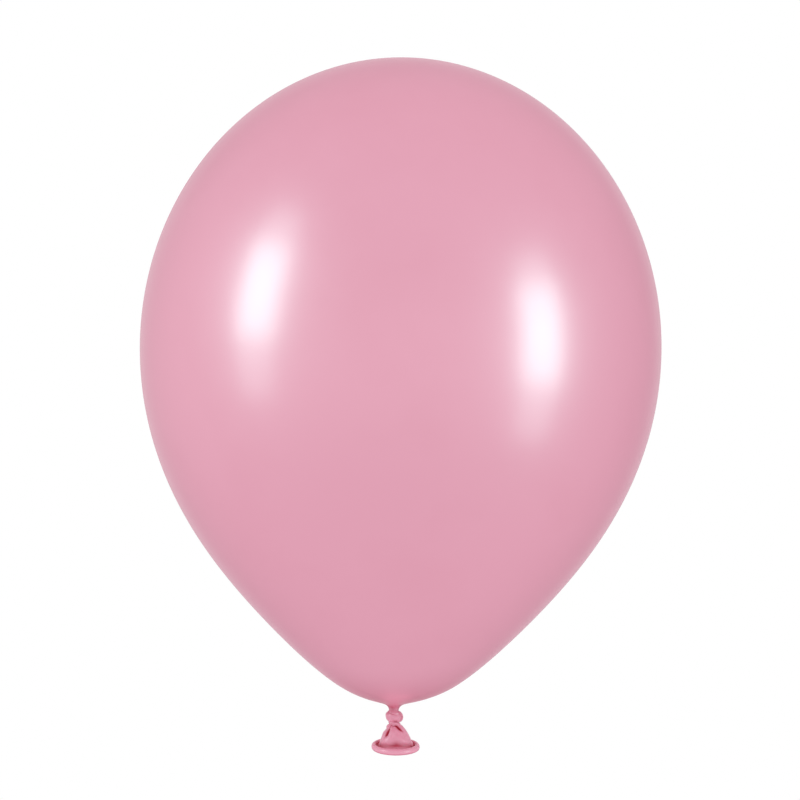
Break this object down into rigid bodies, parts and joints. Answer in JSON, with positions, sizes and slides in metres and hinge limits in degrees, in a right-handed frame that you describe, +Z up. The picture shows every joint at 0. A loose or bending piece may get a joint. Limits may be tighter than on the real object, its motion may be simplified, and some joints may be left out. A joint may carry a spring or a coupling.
{
  "type": "latex balloon",
  "caption": "Inflated teardrop latex balloon, tied with an overhand knot, with a short flared tail and a rolled lip.",
  "frame": {"origin": "centre of the waist of the neck, between the bag and the knot, where a ribbon is tied", "axes": "+Z runs up the balloon's axis to the crown; the knot, the tail and the lip are below the origin"},
  "size_m": [0.28, 0.28, 0.3749],
  "materials": {
    "stretched_latex": "pearl pink, smooth, soft satin gloss",
    "gathered_latex": "deeper pink, pleated, satin",
    "relaxed_latex": "pearl pink, thicker and more opaque, satin",
    "rolled_latex": "pearl pink, opaque, rounded bead"
  },
  "bodies": {
    "bag": {"envelope": "stretched_latex"},
    "neck": {"throat": "gathered_latex"},
    "knot": {"knot_core": "gathered_latex", "knot_wrap": "relaxed_latex", "knot_turn": "relaxed_latex"},
    "tail": {"tail_skirt": "relaxed_latex", "rolled_lip": "rolled_latex"}
  },
  "joints": [
    {"name": "neck_twist", "type": "hinge", "parent": "bag", "child": "neck", "pos_m": [0, 0, 0], "axis": [0, 0, 1], "range_deg": [-90, 90], "stiffness_Nm_per_rad": 0.004},
    {"name": "neck_bend", "type": "hinge", "parent": "neck", "child": "knot", "pos_m": [0, 0, 0], "axis": [0, 1, 0], "range_deg": [-40, 40], "stiffness_Nm_per_rad": 0.003},
    {"name": "tail_bend", "type": "hinge", "parent": "knot", "child": "tail", "pos_m": [0, 0, -0.0088], "axis": [1, 0, 0], "range_deg": [-40, 40], "stiffness_Nm_per_rad": 0.001}
  ]
}
